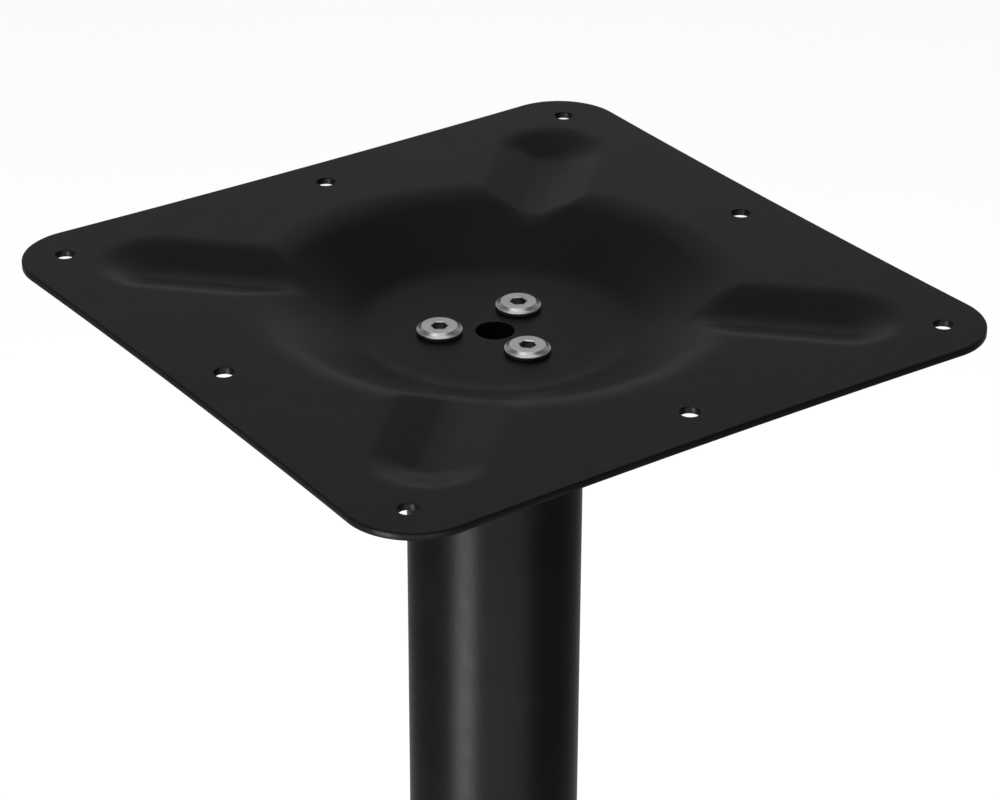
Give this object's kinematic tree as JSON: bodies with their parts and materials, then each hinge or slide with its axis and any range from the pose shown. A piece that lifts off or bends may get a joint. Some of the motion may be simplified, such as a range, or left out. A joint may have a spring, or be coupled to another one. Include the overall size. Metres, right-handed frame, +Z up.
{
  "type": "bar table base",
  "caption": "Bar table base: a pressed square top plate bolted to a round steel column on a flat square base plate with levelling glides.",
  "frame": {"origin": "on the floor, in the column's axis", "axes": "+Z up along the column; the square plates' sides run along X and Y"},
  "size_m": [0.45, 0.45, 1.035],
  "materials": {
    "powder_coat": "black powder coat, satin with a fine orange peel",
    "bolt_steel": "bright zinc plate",
    "glide_plastic": "black nylon"
  },
  "bodies": {
    "stand": {"top_plate": "powder_coat", "column_tube": "powder_coat", "column_disc": "powder_coat", "column_bolts": "bolt_steel", "base_plate": "powder_coat"},
    "levelling_glide_1": {"glide_1": "glide_plastic"},
    "levelling_glide_2": {"glide_2": "glide_plastic"},
    "levelling_glide_3": {"glide_3": "glide_plastic"},
    "levelling_glide_4": {"glide_4": "glide_plastic"}
  },
  "joints": [
    {"name": "glide_1_travel", "type": "slide", "parent": "stand", "child": "levelling_glide_1", "axis": [0, 0, -1], "range_m": [0, 0.005]},
    {"name": "glide_2_travel", "type": "slide", "parent": "stand", "child": "levelling_glide_2", "axis": [0, 0, -1], "range_m": [0, 0.005]},
    {"name": "glide_3_travel", "type": "slide", "parent": "stand", "child": "levelling_glide_3", "axis": [0, 0, -1], "range_m": [0, 0.005]},
    {"name": "glide_4_travel", "type": "slide", "parent": "stand", "child": "levelling_glide_4", "axis": [0, 0, -1], "range_m": [0, 0.005]}
  ]
}
